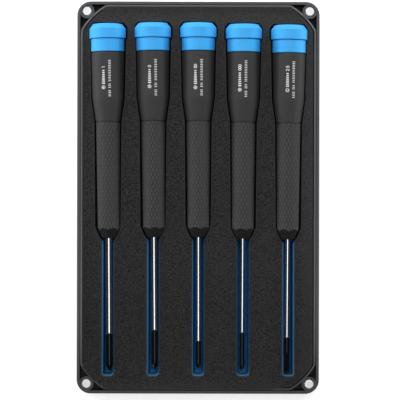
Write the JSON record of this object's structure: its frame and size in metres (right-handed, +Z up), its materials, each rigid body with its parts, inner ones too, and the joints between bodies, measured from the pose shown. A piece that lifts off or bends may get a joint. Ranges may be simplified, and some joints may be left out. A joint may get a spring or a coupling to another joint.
{
  "type": "precision screwdriver set",
  "caption": "Slim open case with a foam insert that holds small cross and slot screwdrivers, each with a knurled grip and a free-spinning end cap.",
  "frame": {"origin": "centre of the case's flat underside", "axes": "+Z up out of the open case, +Y along the drivers towards their caps, +X to the right across the drivers"},
  "size_m": [0.11, 0.178, 0.0197],
  "materials": {
    "case_plastic": "fine spark-eroded texture, satin on the rim",
    "blue_foam": "closed-cell foam, matt",
    "black_foam_skin": "pitted closed-cell foam skin, matt",
    "magnet_nickel": "bright nickel plate",
    "blade_steel": "bright chrome rod with a black-oxide tip",
    "pivot_steel": "turned",
    "blue_plastic": "satin moulded",
    "black_grip": "matt thermoplastic rubber, diamond knurl on the grip"
  },
  "bodies": {
    "case": {"case_tray": "case_plastic", "foam_block": "blue_foam", "foam_skin": "black_foam_skin", "magnet_bottom_left": "magnet_nickel", "magnet_top_left": "magnet_nickel", "magnet_bottom_right": "magnet_nickel", "magnet_top_right": "magnet_nickel"},
    "driver_cross_1": {"blade_cross_1": "blade_steel", "handle_core_cross_1": "blue_plastic", "handle_grip_cross_1": "black_grip", "cap_pivot_cross_1": "pivot_steel"},
    "cap_cross_1": {"swivel_cap_cross_1": "blue_plastic", "cap_disc_cross_1": "blue_plastic"},
    "driver_cross_0": {"blade_cross_0": "blade_steel", "handle_core_cross_0": "blue_plastic", "handle_grip_cross_0": "black_grip", "cap_pivot_cross_0": "pivot_steel"},
    "cap_cross_0": {"swivel_cap_cross_0": "blue_plastic", "cap_disc_cross_0": "blue_plastic"},
    "driver_cross_00": {"blade_cross_00": "blade_steel", "handle_core_cross_00": "blue_plastic", "handle_grip_cross_00": "black_grip", "cap_pivot_cross_00": "pivot_steel"},
    "cap_cross_00": {"swivel_cap_cross_00": "blue_plastic", "cap_disc_cross_00": "blue_plastic"},
    "driver_cross_000": {"blade_cross_000": "blade_steel", "handle_core_cross_000": "blue_plastic", "handle_grip_cross_000": "black_grip", "cap_pivot_cross_000": "pivot_steel"},
    "cap_cross_000": {"swivel_cap_cross_000": "blue_plastic", "cap_disc_cross_000": "blue_plastic"},
    "driver_slot_2_5": {"blade_slot_2_5": "blade_steel", "handle_core_slot_2_5": "blue_plastic", "handle_grip_slot_2_5": "black_grip", "cap_pivot_slot_2_5": "pivot_steel"},
    "cap_slot_2_5": {"swivel_cap_slot_2_5": "blue_plastic", "cap_disc_slot_2_5": "blue_plastic"}
  },
  "joints": [
    {"name": "lift_cross_1", "type": "slide", "parent": "case", "child": "driver_cross_1", "axis": [0, 0, 1], "range_m": [0, 0.03]},
    {"name": "cap_spin_cross_1", "type": "hinge", "parent": "driver_cross_1", "child": "cap_cross_1", "pos_m": [-0.04128, 0.07515, 0.0115], "axis": [-0.0079, 1, 0], "continuous": true},
    {"name": "lift_cross_0", "type": "slide", "parent": "case", "child": "driver_cross_0", "axis": [0, 0, 1], "range_m": [0, 0.03]},
    {"name": "cap_spin_cross_0", "type": "hinge", "parent": "driver_cross_0", "child": "cap_cross_0", "pos_m": [-0.02079, 0.0756, 0.0115], "axis": [-0.008, 1, 0], "continuous": true},
    {"name": "lift_cross_00", "type": "slide", "parent": "case", "child": "driver_cross_00", "axis": [0, 0, 1], "range_m": [0, 0.03]},
    {"name": "cap_spin_cross_00", "type": "hinge", "parent": "driver_cross_00", "child": "cap_cross_00", "pos_m": [-0.0001, 0.07565, 0.0115], "axis": [-0.0028, 1, 0], "continuous": true},
    {"name": "lift_cross_000", "type": "slide", "parent": "case", "child": "driver_cross_000", "axis": [0, 0, 1], "range_m": [0, 0.03]},
    {"name": "cap_spin_cross_000", "type": "hinge", "parent": "driver_cross_000", "child": "cap_cross_000", "pos_m": [0.02062, 0.0751, 0.0115], "axis": [0.0035, 1, 0], "continuous": true},
    {"name": "lift_slot_2_5", "type": "slide", "parent": "case", "child": "driver_slot_2_5", "axis": [0, 0, 1], "range_m": [0, 0.03]},
    {"name": "cap_spin_slot_2_5", "type": "hinge", "parent": "driver_slot_2_5", "child": "cap_slot_2_5", "pos_m": [0.04118, 0.0747, 0.0115], "axis": [0.0052, 1, 0], "continuous": true}
  ]
}
